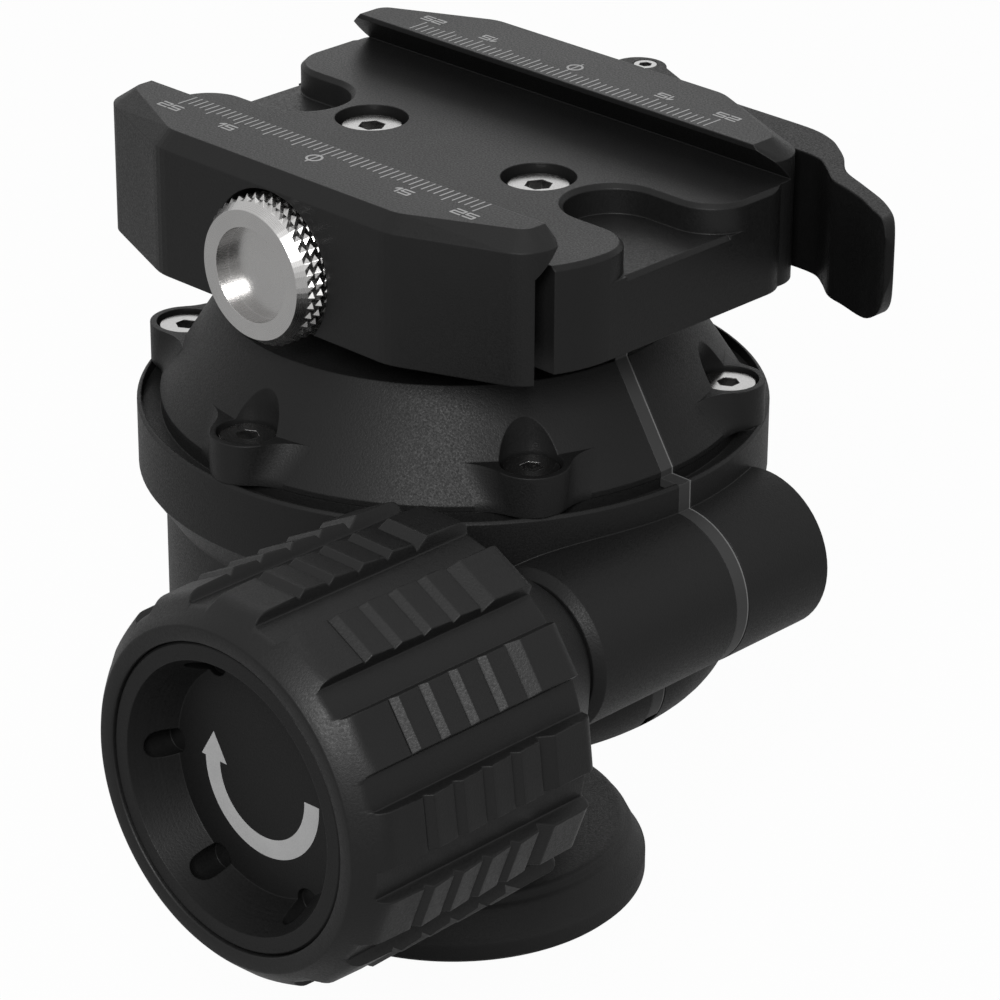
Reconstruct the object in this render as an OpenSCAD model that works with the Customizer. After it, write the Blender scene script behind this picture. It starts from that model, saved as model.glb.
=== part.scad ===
// Ball head with a lever clamp: a ball on a fixed stem, a housing that rides on the
// ball and is locked by a large side knob, and a dovetail clamp on top.
// Millimetres, +Z up, origin at the centre of the base's underside.
// The lock knob is on the -Y side and its barrel on the +X side; the lever is on the +Y side.

/* [Tripod base] */
// Radius of the base disc
base_r = 25.2; // [24.8:0.1:28]
// Height of the base disc
base_h = 8; // [7.4:0.1:10]
// Height of the upright side of the disc
base_side_h = 2.9; // [2:0.1:3.5]
// Radius of the flat top of the disc
base_top_r = 22.2; // [21:0.1:22.6]
// Height of the soft step below the flat top
base_step_h = 1.4; // [1:0.1:2]
// Radius of the tapped tripod hole
tripod_r = 3.97; // [3.2:0.01:4.2]
// Depth of the tapped tripod hole
tripod_len = 10; // [8:0.5:12]
// Wall of the threaded insert
insert_wall = 2; // [1.5:0.1:2.4]
// Circle radius of the screws that hold the stem to the base
base_screw_ring = 11.3; // [11:0.1:11.6]
// Number of those screws
base_screw_n = 4; // [3:1:6]

/* [Stem and ball] */
// Radius of the stem between base and ball
stem_r = 9.5; // [8.6:0.1:10]
// Radius of the stem's spigot inside the base disc
spigot_r = 8.2; // [8:0.1:8.4]
// Radius of the stem's foot flange
stem_foot_r = 14.2; // [14:0.1:15]
// Thickness of the foot flange
stem_foot_t = 4; // [3.5:0.1:5]
// Clear height from the base disc to the underside of the housing
neck_gap = 23.5; // [22:0.1:26]
// Height of the ball's centre above the underside of the housing
ball_rise = 23.1; // [22.5:0.1:24]
// Radius of the ball
ball_r = 27.5; // [27:0.1:27.8]
// Radius of the flat on top of the ball
ball_flat_r = 13; // [11:0.1:14]
// Radius of the stud that enters the ball
stud_r = 6; // [5.6:0.1:6.5]
// Length of that stud
stud_len = 16; // [14:0.5:18]
// Radius of the bolt that clamps the ball to the stud
ball_bolt_r = 4; // [3.5:0.1:4.2]
// Thickness of the rubber ring on the stem
stem_ring_t = 2; // [1.5:0.1:2.5]
// Height of the rubber ring on the stem
stem_ring_h = 4.5; // [3:0.1:5]

/* [Seats] */
// Wall of the seat rings at the ball's equator
seat_wall = 1.9; // [1.5:0.1:2.1]
// Rise of the lower seat's underside above the ball's lowest point
lower_seat_set = 11.5; // [11:0.1:12.5]
// Height of the lower seat ring
lower_seat_h = 7.4; // [6:0.1:8]
// Drop of the upper seat's underside below the ball's highest point
upper_seat_set = 19.5; // [18.9:0.1:19.9]
// Height of the upper seat ring
upper_seat_h = 9.4; // [8:0.1:10]
// Thickness of the spring washer over the upper seat
spring_t = 1; // [0.6:0.1:1.4]

/* [Housing] */
// Wall between the seat rings and the outside of the lower housing
bowl_wall = 6.6; // [6.2:0.1:7.5]
// Rounding at the bottom of the housing
bowl_round = 8; // [7:0.1:8.5]
// Width of the flat rim round the opening for the stem
mouth_rim = 0.7; // [0.3:0.1:1.2]
// Overhang of the flange past the lower housing
flange_lip = 3.3; // [3:0.1:4.5]
// Height of the flange's upright side
flange_h = 8.65; // [7.5:0.05:9]
// Height of the cone under the flange
flange_cone_h = 4.8; // [4:0.1:6]
// Rise of the flange's top above the ball's centre
flange_rise = 13.85; // [13.4:0.05:14.5]
// Width of the rim outside the ring groove
rim_w = 0.55; // [0.5:0.05:0.9]
// Width of the ring groove between rim and dome
moat_w = 2.45; // [2.2:0.05:2.6]
// Depth of the ring groove
moat_d = 1.5; // [1:0.1:2]

/* [Dome] */
// Inward run of the dome's side from foot to top
dome_taper = 7.7; // [6.5:0.1:8.5]
// Height of the dome
dome_h = 12.8; // [12.5:0.1:14]
// Height of the upright foot under the dome's slope
dome_skirt = 0.75; // [0.5:0.05:1]
// Height of the pedestal
pedestal_h = 5.75; // [5.5:0.05:7]
// Number of dome screws
dome_screw_n = 6; // [4:1:6]
// Radius of the ear round each dome screw
ear_r = 4.6; // [4.3:0.1:4.6]
// Height of the ears
ear_h = 5.1; // [4.5:0.1:6]
// Radius of the pocket over each dome screw
dome_pocket_r = 3.8; // [3.6:0.05:3.9]
// Radius of the fillet beside each ear
ear_fillet_r = 5.5; // [4.5:0.1:6]

/* [Index strip] */
// Width of the index strip
index_w = 2.1; // [1.6:0.1:3]
// Thickness of the strip
index_t = 1.1; // [0.8:0.1:1.2]
// Depth of the strip below the surfaces round it
index_drop = 0.08; // [0.05:0.01:0.2]
// Sideways place of the strip
index_y = -0.5; // [-2:0.1:2]

/* [Lock barrel] */
// Distance of the barrel's axis outside the lower housing
barrel_out = 2.75; // [2.5:0.05:3.5]
// Outer radius of the barrel
barrel_r = 10.2; // [10:0.1:11]
// Bore radius of the barrel
barrel_bore_r = 7.5; // [7.2:0.1:7.7]
// Shortfall of the barrel's mouth from the flange's radius
knob_tuck = 14.8; // [13.5:0.1:15.2]
// Reach of the barrel away from the knob
barrel_back = 15.3; // [14.5:0.1:16]
// Thickness of the plug in the far end
barrel_plug_t = 2.6; // [2:0.1:3]
// Radius of the lock shaft
shaft_r = 4; // [3.5:0.1:4.1]
// Radius of the shoe that presses on the ball
shoe_r = 6.5; // [6:0.1:6.8]
// Half length of the wedge
wedge_half = 7; // [6.8:0.1:7.5]
// Slope of the wedge in degrees
wedge_deg = 8; // [6:0.5:9]
// Distance from the barrel's axis to the middle of the wedge's slope
wedge_off = 5.45; // [5.25:0.05:5.75]
// Length of the bush at the barrel's mouth
bush_len = 11; // [9:0.5:12]
// Thickness of the bush's flange
bush_flange_t = 0.8; // [0.6:0.1:1]
// Thickness of the thrust washer behind the knob
washer_t = 0.8; // [0.6:0.1:1]
// Thickness of the retaining ring on the shaft
clip_t = 1; // [0.8:0.1:1.2]

/* [Lock knob] */
// Number of grip lands round the knob
land_n = 13; // [9:1:13]
// Width of one land in degrees
land_deg = 16.8; // [14:0.1:19]
// Angle of the first land from the +X side
land_start = 26.2; // [20:0.1:30]
// Largest radius over the lands
land_r = 23.75; // [23.4:0.05:24]
// Step height of the saw teeth on the lands
tooth_h = 0.75; // [0.5:0.05:0.9]
// Spacing of the saw teeth along the knob
tooth_pitch = 4.43; // [4.2:0.01:4.6]
// Width of the steep side of a tooth
tooth_ramp = 1.35; // [1:0.05:1.6]
// Teeth on each land
tooth_n = 5; // [3:1:5]
// Radius of the valleys between the lands
valley_r = 21.5; // [21:0.1:21.8]
// Radius of the grip's plain rear edge
grip_rear_r = 21.2; // [20.8:0.1:21.4]
// Radius of the grip's front rim
grip_front_r = 20.7; // [20.3:0.1:21]
// Inner radius of the rubber grip
grip_bore_r = 19.5; // [19.3:0.1:19.7]
// Length of the grip
grip_len = 34.7; // [33:0.1:36]
// Radius of the knob's hub where it faces the barrel
hub_r = 9.1; // [8.8:0.1:9.6]
// Length of the cone from hub to grip
hub_len = 13.7; // [12:0.1:15]
// Radius of the cap in the knob's front
cap_r = 18.2; // [18:0.1:18.4]
// Radius of the cap's recess at its rim
dish_r = 16.1; // [15.5:0.1:16.5]
// Radius of the flat floor of the recess
dish_floor_r = 13.66; // [13:0.1:14]
// Depth of the recess
dish_d = 5.8; // [4.5:0.1:6]
// Thickness of the cap behind its recess
cap_t = 2.4; // [2:0.1:3]
// Number of dimples round the recess floor
dimple_n = 6; // [3:1:8]
// Radius of a dimple
dimple_r = 1.7; // [1:0.1:1.9]
// Length of a dimple up the recess wall
dimple_len = 2.4; // [1.5:0.1:3]

/* [Clamp] */
// Reach of the clamp's ends past the dome's foot
clamp_over = 0.6; // [0.3:0.1:1.6]
// Height of the clamp's floor above its underside
floor_h = 13.25; // [13:0.05:14]
// Height of the jaws above the floor
jaw_rise = 4.75; // [4.4:0.05:5.2]
// Place of the fixed jaw's lip
far_lip = 16.6; // [16:0.1:18]
// Place of the clamp base's near wall
near_wall = 19.3; // [18.8:0.1:19.8]
// Gap between the near wall and the moving jaw
jaw_gap = 3.6; // [3.4:0.1:4.2]
// Depth of the fixed jaw from lip to back
far_depth = 12.65; // [12.4:0.05:14]
// Depth of the moving jaw from lip to back
near_depth = 11.6; // [11.4:0.1:12.5]
// Height of the blunt nose of the fixed jaw's lip
lip_nose = 0.65; // [0.5:0.05:0.9]
// Height of the blunt nose of the moving jaw's lip
near_nose = 1.3; // [0.7:0.1:1.6]
// Chamfer round the outer edge of both jaws
jaw_cham = 1.9; // [1.5:0.1:2]
// Distance from the clamp's end to the end of the jaws' straight back
jaw_flat_set = 18.8; // [18:0.1:20]
// Distance from the clamp's end to the middle of the jaws' rounded ends
jaw_end_set = 5.5; // [5:0.1:6]
// Rounding of the jaw ends
jaw_end_round = 4.7; // [4.4:0.05:4.8]
// Chamfer over the rounded ends of the jaws
jaw_end_cham = 2.75; // [2.4:0.05:3]
// Radius of the pocket at each end of the floor
pocket_r = 6.1; // [5.8:0.05:6.4]
// Distance from the clamp's end to the middle of the pocket's round end
pocket_set = 10.35; // [9.9:0.05:10.6]
// Depth of the end pockets
pocket_d = 3.7; // [3.2:0.05:3.8]
// Rounding of the pocket's mouth corners
mouth_round = 5.8; // [5:0.1:6.5]
// Radius of the curve at the near end of the clamp's end faces
end_curve_r = 17.4; // [15:0.1:20]
// Length of that curve along the end face
end_curve_run = 7.4; // [6.5:0.1:8]
// Distance from the clamp's end to the clamp screws
clamp_screw_set = 22.75; // [22.4:0.05:23.2]
// Radius of the clamp screw heads
clamp_head_r = 4; // [3.8:0.1:4.2]
// Height of the clamp screw heads
clamp_head_h = 2.8; // [2.4:0.1:3]
// Depth of the clamp screw heads below the floor
clamp_head_sink = 1; // [0.6:0.1:1.3]

/* [Clamp drive] */
// Height of the draw bolt above the clamp's underside
bolt_rise = 6.2; // [6:0.1:6.4]
// Radius of the draw bolt
bolt_r = 3; // [2.8:0.1:3.1]
// Distance from the clamp's end to the guide pins
guide_set = 13.5; // [12:0.1:14]
// Radius of the guide pins
guide_r = 2.4; // [2:0.1:2.5]
// Radius of the thumb knob at the tips of its knurl
thumb_r = 9.2; // [8.9:0.1:9.3]
// Length of the thumb knob outside the jaw's recess floor
thumb_len = 7.15; // [6.9:0.05:7.6]
// Knurl teeth in one row of the thumb knob
thumb_teeth = 40; // [24:1:44]
// Radius of the thumb knob's flat front ring
thumb_face_r = 7.95; // [7.6:0.05:8.1]
// Radius of the well in the thumb knob's front
thumb_well_r = 5.85; // [5:0.05:6.2]
// Depth of that well
thumb_well_d = 1.9; // [1:0.1:2.1]
// Gap round the thumb knob in the jaw's recess
thumb_room = 0.5; // [0.4:0.1:0.6]
// Depth of that recess
thumb_recess_d = 4.3; // [4:0.1:4.6]

/* [Lever] */
// Radius of the lever's eccentric
cam_r = 3.5; // [3.4:0.1:3.6]
// Offset of the eccentric from the pivot
cam_off = 1.2; // [1:0.1:1.3]
// Radius of the lever's pivot pin
lever_pin_r = 1.45; // [1.3:0.05:1.5]
// Drop of the lever's top below the jaw tops
lever_top_drop = 2.8; // [2.4:0.1:3.2]
// Drop of the lever's underside below the jaw tops
lever_low_drop = 18.8; // [17.8:0.1:19.2]
// Rise of the lever's underside from its pivot to its tab
tab_lift = 1.5; // [1:0.1:2]
// Thickness of the arm's straight part beside the fixed jaw
lever_arm_t = 1.75; // [1.5:0.05:2]

/* [Hidden] */
$fn = 96;

// Clearances: fixed fits within one body, running fits, and free gaps between bodies
fit_gap = 0.05;
run_gap = 0.1;
free_gap = 0.3;
// Overshoot of a cut past the face that it opens
over = 1;

// Heights
bowl_z = base_h + neck_gap;
ball_z = bowl_z + ball_rise;
flange_top = ball_z + flange_rise;
flange_z = flange_top - flange_h;
dome_top = flange_top + dome_h;
clamp_z = dome_top + pedestal_h;
floor_z = clamp_z + floor_h;
jaw_top = floor_z + jaw_rise;
bolt_z = clamp_z + bolt_rise;

// Ball, stem and seats
ball_low = ball_z - sqrt(pow(ball_r, 2) - pow(stem_r, 2));
ball_top = ball_z + sqrt(pow(ball_r, 2) - pow(ball_flat_r, 2));
insert_r = tripod_r + insert_wall;
stem_fillet = 2;
small_screw_r = 1.5;
small_head_r = 2.75;
small_head_h = 3;
small_socket_r = 1.45;
// Share of a screw head left under its hex socket
socket_floor = 0.45;
ball_head_r = ball_bolt_r + 2.5;
ball_head_h = 2 * ball_bolt_r;
ball_head_sink = 1;
ball_socket_r = 0.85 * ball_bolt_r;
ball_bolt_grip = 12;
foot_tap_d = 0.75 * stem_foot_t;
seat_gap = 0.1;
seat_in_r = ball_r + seat_gap;
seat_r = ball_r + seat_wall;
seat_bore_r = seat_r + run_gap;
seat_drop = ball_r - lower_seat_set;
lower_seat_z = ball_z - seat_drop;
bowl_r = seat_r + bowl_wall;
mouth_r = bowl_r - bowl_round - mouth_rim;
flange_r = bowl_r + flange_lip;
dome_r = flange_r - rim_w - moat_w + run_gap;
dome_top_r = dome_r - dome_taper;
dome_screw_ring = flange_r - ear_r;
pedestal_r = near_wall;
upper_seat_z = ball_z + ball_r - upper_seat_set;
seat_shelf = upper_seat_z + upper_seat_h + spring_t + 2 * run_gap;
dome_hollow_r = ball_r + 0.5;
spring_w = 6;
moat_r = flange_r - rim_w;
edge_break = 0.3;

// Rise of the index slot's lower end above the housing's underside
index_low = 1.9;

// Dome screws
ear_seat_t = 1.6;
dome_head_r = dome_pocket_r - 0.15;
cone_run = dome_taper / (dome_h - dome_skirt);
dome_head_z = flange_top + ear_seat_t;
dome_screw_len = 9;

// Barrel, shaft and lock, along Y
barrel_x = bowl_r + barrel_out;
barrel_front = flange_r - knob_tuck;
barrel_lip = barrel_front + bush_flange_t;
bush_flange_r = barrel_bore_r + 0.8;
wedge_x = barrel_x - wedge_off;
knob_rear = barrel_lip + washer_t + 2 * fit_gap;
hub_rear = barrel_lip + run_gap + fit_gap;
grip_rear = knob_rear + hub_len;
grip_front = grip_rear + grip_len;
barrel_cham = 0.4;
mouth_cham = 1.07;
washer_r = hub_r - 1.5;
wedge_len = 2 * wedge_half;
clip_r = shaft_r + 1.8;
clip_groove_r = shaft_r - 0.5;
clip_y = -barrel_front + bush_len + fit_gap;
shaft_end = 9;
shaft_in_knob = 20;
knob_screw_r = 2.5;
knob_head_r = 4.5;
knob_head_h = 4;
knob_screw_len = 14;
knob_socket_r = 0.8 * knob_screw_r;
core_well_r = 12;
cap_seat = grip_front - dish_d - cap_t;
grip_front_taper = 2.6;
grip_rim = 0.4;
land_rear_gap = 0.4;
land_front_r = valley_r + 1.4;
teeth_front = 8.1;
last_ramp = 2.8;

// Clamp
clamp_half = dome_r + clamp_over;
jaw_flat_x = clamp_half - jaw_flat_set;
jaw_end_x = clamp_half - jaw_end_set;
pocket_x = clamp_half - pocket_set;
clamp_screw_x = clamp_half - clamp_screw_set;
guide_x = clamp_half - guide_set;
far_back = far_lip + far_depth;
near_lip = near_wall - 0.3;
near_back = near_lip + near_depth;
jaw_flat_round = 7;
jaw_end_in = 9.85;
jaw_half = jaw_end_x + jaw_end_round;
lip_run = jaw_rise - lip_nose;
jaw_z = clamp_z - 0.2;
base_corner_far = 5;
floor_end = far_lip + 4.4;
floor_cham = 0.55;
guide_reach = 6;
guide_room = 4;
guide_in_jaw = 3;
clamp_screw_r = 2.5;
clamp_seat = floor_z - clamp_head_sink - clamp_head_h;
clamp_screw_len = 15;
clamp_socket_r = 1.75;
cam_shoe_t = 1.3;
cam_shoe_half = 6;
cam_shoe_h = 11;

// Thumb knob, along Y
thumb_floor = near_back - thumb_recess_d;
thumb_washer_t = 0.3;
thumb_rear = thumb_floor + thumb_washer_t + fit_gap;
thumb_face = thumb_rear + thumb_len;
thumb_hub_r = 5;
thumb_hub_len = 1.8;
thumb_root_r = thumb_r - 0.45;
thumb_recess_r = thumb_r + thumb_room;
knurl_rows = 4;
knurl_pitch = 1.33;
knurl_front = 1.1;
knurl_valley_r = thumb_root_r - 0.05;
jaw_travel = 3;
bolt_end = thumb_face - 5.9;
bolt_bore_end = bolt_end + jaw_travel + 2 * run_gap;

// Lever; its outline is given from a place near the clamp's end and from the back of the fixed jaw
lever_x = clamp_half - 1.65;
cam_gap = 0.35;
pivot_y = far_back + cam_gap + cam_r + cam_off;
lever_top = jaw_top - lever_top_drop;
lever_low = jaw_top - lever_low_drop;
eye_half = bolt_r - 0.1;
eye_wall = 1.45;
eye_r = lever_pin_r + eye_wall;
eye_room = 1.2;
eye_neck = 0.4;
pin_socket_r = 0.6 * lever_pin_r;
lever_wall_gap = 0.6;
lever_outer = [[-11.3, 2.35], [-5, 2.2], [-1.3, 1.1], [1.2, -0.5], [3.9, -2.7], [7, -5.9],
    [11.3, -7.9], [16.2, -10.2], [20.2, -13.1], [22.6, -15.7]];
lever_inner = [[21.6, -16.3], [19.2, -14.3], [16.6, -12.9], [14.1, -11.5], [10.8, -10.2], [7.6, -9.1],
    [4.6, -6.7], [2.1, -5], [-0.8, -4.5], [-3, -4.5]];
lever_taper_x = -14.9;
tab_end = 22.3;
tab_round_top = 3;
tab_round_low = 9.6;

// Point on a smooth curve through p1 and p2, with neighbours p0 and p3
function curve_point(p0, p1, p2, p3, t) =
    0.5 * (2 * p1 + (p2 - p0) * t + (2 * p0 - 5 * p1 + 4 * p2 - p3) * t * t
    + (3 * p1 - p0 - 3 * p2 + p3) * t * t * t);
// Smooth path through all points of p, with n steps between neighbours
function smooth_path(p, n) = concat(
    [for (i = [0 : len(p) - 2]) for (k = [0 : n - 1])
        curve_point(p[max(i - 1, 0)], p[i], p[i + 1], p[min(i + 2, len(p) - 1)], k / n)],
    [p[len(p) - 1]]);

// Rod along Y from y0 to y1
module rod_y(r, y0, y1) {
    translate([0, y0, 0]) rotate([-90, 0, 0]) cylinder(r = r, h = y1 - y0);
}
// Solid of revolution about the Y axis; points are [radius, y]
module turned_y(points) {
    rotate([-90, 0, 0]) rotate_extrude() polygon(points);
}
// Prism along X through both ends of the clamp; points are [y, z]
module along_x(points) {
    translate([-clamp_half - over, 0, 0]) rotate([90, 0, 90])
        linear_extrude(2 * (clamp_half + over)) polygon(points);
}
// Children moved to the barrel's axis
module at_barrel() {
    translate([barrel_x, 0, ball_z]) children();
}
// Children moved to the draw bolt's axis
module at_bolt() {
    translate([0, 0, bolt_z]) children();
}
// Copies of the children at each dome screw
module at_dome_screws() {
    for (i = [0 : dome_screw_n - 1])
        rotate((i + 0.5) * 360 / dome_screw_n) translate([dome_screw_ring, 0, 0]) children();
}
// Copies of the children at each base screw
module at_base_screws() {
    for (i = [0 : base_screw_n - 1])
        rotate((i + 0.5) * 360 / base_screw_n) translate([base_screw_ring, 0, 0]) children();
}
// Socket-head screw with its head's underside at z = 0 and its shank downward
module socket_screw(r, len, head_r, head_h, socket_r) {
    difference() {
        union() {
            translate([0, 0, -len]) cylinder(r = r, h = len + fit_gap);
            cylinder(r = head_r, h = head_h - edge_break);
            translate([0, 0, head_h - edge_break])
                cylinder(r1 = head_r, r2 = head_r - edge_break, h = edge_break);
        }
        translate([0, 0, head_h * socket_floor]) cylinder(r = socket_r, h = head_h, $fn = 6);
    }
}

// Side view of the moving head in the plane of the index strip, drawn in by inset
module head_outline(inset) {
    translate([0, bowl_z + bowl_round]) square([bowl_r - inset, flange_z - bowl_z - bowl_round]);
    translate([0, bowl_z + inset]) square([bowl_r - bowl_round, bowl_round]);
    translate([bowl_r - bowl_round, bowl_z + bowl_round]) circle(bowl_round - inset);
    polygon([[0, flange_z - flange_cone_h], [bowl_r - inset, flange_z - flange_cone_h],
        [flange_r - inset, flange_z], [flange_r - inset, flange_top - inset], [0, flange_top - inset]]);
    polygon([[0, flange_z], [dome_r - inset, flange_z],
        [dome_r - inset, flange_top + dome_skirt], [dome_top_r - inset, dome_top], [dome_top_r - inset, clamp_z], [0, clamp_z]]);
    translate([barrel_x, ball_z]) circle(barrel_r - inset);
}
// Upright slab in the index strip's plane, of the given width, from a flat outline
module index_slab(width) {
    translate([0, index_y + width / 2, 0]) rotate([90, 0, 0]) linear_extrude(width) children();
}
// Room for the index strip, open to the outside
module index_slot() {
    index_slab(index_w + 2 * fit_gap) difference() {
        translate([stem_r, bowl_z + index_low])
            square([barrel_x + barrel_r, clamp_z - bowl_z - index_low + over]);
        head_outline(index_drop + index_t + fit_gap);
    }
}

module base_plate() {
    color([0.09, 0.09, 0.1]) difference() {
        rotate_extrude() polygon([[0, 0], [base_r - 2 * edge_break, 0], [base_r, 2 * edge_break],
            [base_r, base_side_h], [base_r - edge_break, base_side_h + edge_break],
            [base_top_r + 1, base_h - base_step_h],
            [base_top_r + edge_break, base_h - base_step_h + edge_break],
            [base_top_r + edge_break / 2, base_h - edge_break], [base_top_r - edge_break, base_h],
            [0, base_h]]);
        translate([0, 0, -over]) cylinder(r = spigot_r + fit_gap, h = base_h + 2 * over);
        at_base_screws() {
            translate([0, 0, -over])
                cylinder(r = small_head_r + edge_break, h = small_head_h + edge_break + over);
            translate([0, 0, -over]) cylinder(r = small_screw_r + fit_gap, h = base_h + 2 * over);
        }
    }
}
module base_screws() {
    color([0.55, 0.55, 0.57]) at_base_screws() translate([0, 0, small_head_h + edge_break]) mirror([0, 0, 1])
        socket_screw(small_screw_r, base_h - small_head_h + stem_foot_t / 2, small_head_r, small_head_h,
            small_socket_r);
}
module thread_insert() {
    color([0.7, 0.7, 0.72]) difference() {
        cylinder(r = insert_r, h = tripod_len);
        translate([0, 0, -over]) cylinder(r = tripod_r, h = tripod_len + 2 * over);
    }
}
module ball_stem() {
    color([0.1, 0.1, 0.11]) difference() {
        rotate_extrude() polygon([[0, 0], [spigot_r, 0], [spigot_r, base_h], [stem_foot_r, base_h],
            [stem_foot_r, base_h + stem_foot_t], [stem_r + stem_fillet, base_h + stem_foot_t],
            [stem_r, base_h + stem_foot_t + stem_fillet], [stem_r, ball_low], [stud_r, ball_low],
            [stud_r, ball_low + stud_len], [0, ball_low + stud_len]]);
        translate([0, 0, -over]) cylinder(r = insert_r + fit_gap, h = tripod_len + fit_gap + over);
        at_base_screws() translate([0, 0, base_h - over])
            cylinder(r = small_screw_r + fit_gap, h = foot_tap_d + over);
        translate([0, 0, ball_low + stud_len - ball_bolt_grip - over])
            cylinder(r = ball_bolt_r + fit_gap, h = ball_bolt_grip + 2 * over);
    }
}
module ball() {
    color([0.2, 0.2, 0.21]) difference() {
        intersection() {
            translate([0, 0, ball_z]) sphere(r = ball_r);
            translate([0, 0, ball_low]) cylinder(r = ball_r + over, h = ball_top - ball_low);
        }
        translate([0, 0, ball_low - over]) cylinder(r = stud_r + fit_gap, h = stud_len + fit_gap + over);
        translate([0, 0, ball_low]) cylinder(r = ball_bolt_r + fit_gap, h = ball_top - ball_low + over);
        translate([0, 0, ball_top - ball_head_h - ball_head_sink])
            cylinder(r = ball_head_r + edge_break, h = ball_head_h + ball_head_sink + over);
    }
}
module ball_bolt() {
    color([0.55, 0.55, 0.57]) translate([0, 0, ball_top - ball_head_h - ball_head_sink])
        socket_screw(ball_bolt_r,
            ball_top - ball_head_h - ball_head_sink - ball_low - stud_len + ball_bolt_grip,
            ball_head_r, ball_head_h, ball_socket_r);
}
module stem_ring() {
    color([0.06, 0.06, 0.06]) translate([0, 0, base_h + stem_foot_t + stem_fillet + run_gap]) difference() {
        cylinder(r = stem_r + stem_ring_t, h = stem_ring_h);
        translate([0, 0, -over]) cylinder(r = stem_r + run_gap, h = stem_ring_h + 2 * over);
    }
}

// Ring from z0 to z0 + h with a ball seat inside
module seat_ring(z0, h) {
    difference() {
        translate([0, 0, z0]) cylinder(r = seat_r, h = h);
        translate([0, 0, ball_z]) sphere(r = seat_in_r);
    }
}
module lower_seat() {
    color([0.85, 0.84, 0.8]) seat_ring(lower_seat_z, lower_seat_h);
}
module upper_seat() {
    color([0.85, 0.84, 0.8]) seat_ring(upper_seat_z, upper_seat_h);
}
module seat_spring() {
    color([0.6, 0.6, 0.62]) translate([0, 0, upper_seat_z + upper_seat_h + run_gap]) difference() {
        cylinder(r = seat_r, h = spring_t);
        translate([0, 0, -over]) cylinder(r = seat_r - spring_w, h = spring_t + 2 * over);
    }
}

module housing() {
    color([0.1, 0.1, 0.11]) difference() {
        union() {
            rotate_extrude() difference() {
                union() {
                    translate([0, bowl_z]) square([bowl_r - bowl_round, bowl_round]);
                    translate([0, bowl_z + bowl_round]) square([bowl_r, flange_z - bowl_z - bowl_round]);
                    intersection() {
                        translate([bowl_r - bowl_round, bowl_z + bowl_round]) circle(bowl_round);
                        translate([bowl_r - bowl_round, bowl_z]) square([bowl_round, bowl_round + over]);
                    }
                    polygon([[0, flange_z - flange_cone_h], [bowl_r, flange_z - flange_cone_h],
                        [flange_r, flange_z], [flange_r, flange_top - edge_break],
                        [flange_r - edge_break, flange_top], [0, flange_top]]);
                }
                translate([moat_r - moat_w, flange_top - moat_d]) square([moat_w, moat_d + over]);
            }
            at_barrel() turned_y([[0, -barrel_lip], [barrel_r - mouth_cham, -barrel_lip],
                [barrel_r, -barrel_lip + mouth_cham], [barrel_r, barrel_back - barrel_cham],
                [barrel_r - barrel_cham, barrel_back], [0, barrel_back]]);
        }
        translate([0, 0, lower_seat_z - run_gap])
            cylinder(r = seat_bore_r, h = flange_top - lower_seat_z + run_gap + over);
        translate([0, 0, bowl_z]) rotate_extrude() polygon([[0, -over], [mouth_r, -over], [mouth_r, 0],
            [sqrt(pow(seat_in_r, 2) - pow(seat_drop, 2)) + free_gap, ball_rise - seat_drop - run_gap],
            [0, ball_rise - seat_drop]]);
        at_barrel() {
            rod_y(barrel_bore_r, -barrel_front - over, barrel_back + over);
            rod_y(bush_flange_r + fit_gap, -barrel_lip - over, -barrel_front);
        }
        translate([ball_r - over, 0, ball_z]) rotate([0, 90, 0])
            cylinder(r = shoe_r + fit_gap, h = barrel_x - ball_r + over);
        at_dome_screws() translate([0, 0, dome_head_z - dome_screw_len - over])
            cylinder(r = small_screw_r + fit_gap, h = dome_screw_len + 2 * over);
        index_slot();
    }
}

// Plan of one ear with a fillet on each side up to the dome's slope, drawn round the screw's axis
module ear_plan() {
    cone_r = dome_r - cone_run * (ear_h - dome_skirt) - run_gap;
    far = cone_r + ear_fillet_r;
    near = ear_r + ear_fillet_r;
    turn = acos((pow(far, 2) + pow(dome_screw_ring, 2) - pow(near, 2)) / (2 * far * dome_screw_ring));
    mid = [far * cos(turn) - dome_screw_ring, far * sin(turn)];
    on_ear = mid * ear_r / near;
    on_cone = [cone_r * cos(turn) - dome_screw_ring, cone_r * sin(turn)];
    circle(ear_r);
    difference() {
        polygon([on_cone, on_ear, [on_ear[0], -on_ear[1]], [on_cone[0], -on_cone[1]]]);
        for (s = [-1, 1]) translate([mid[0], s * mid[1]]) circle(ear_fillet_r);
    }
}
module dome() {
    color([0.11, 0.11, 0.12]) difference() {
        union() {
            rotate_extrude() polygon([[0, flange_top], [dome_r, flange_top],
                [dome_r, flange_top + dome_skirt], [dome_top_r, dome_top], [pedestal_r, dome_top], [pedestal_r, clamp_z], [0, clamp_z]]);
            translate([0, 0, flange_top]) intersection() {
                cylinder(r = flange_r, h = ear_h);
                at_dome_screws() linear_extrude(ear_h) ear_plan();
            }
        }
        translate([0, 0, flange_top - over]) cylinder(r = seat_bore_r, h = seat_shelf - flange_top + over);
        translate([0, 0, ball_z]) sphere(r = dome_hollow_r);
        at_dome_screws() {
            translate([0, 0, dome_head_z]) cylinder(r = dome_pocket_r, h = dome_h);
            translate([0, 0, flange_top - over]) cylinder(r = small_screw_r + fit_gap, h = ear_h + over);
        }
        for (s = [-1, 1]) translate([s * clamp_screw_x, 0, clamp_seat - clamp_screw_len - fit_gap])
            cylinder(r = clamp_screw_r + fit_gap, h = clamp_screw_len);
        index_slot();
    }
}
module dome_screws() {
    color([0.6, 0.6, 0.62]) at_dome_screws() translate([0, 0, dome_head_z])
        socket_screw(small_screw_r, dome_screw_len, dome_head_r, small_head_h, small_socket_r);
}
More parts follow.
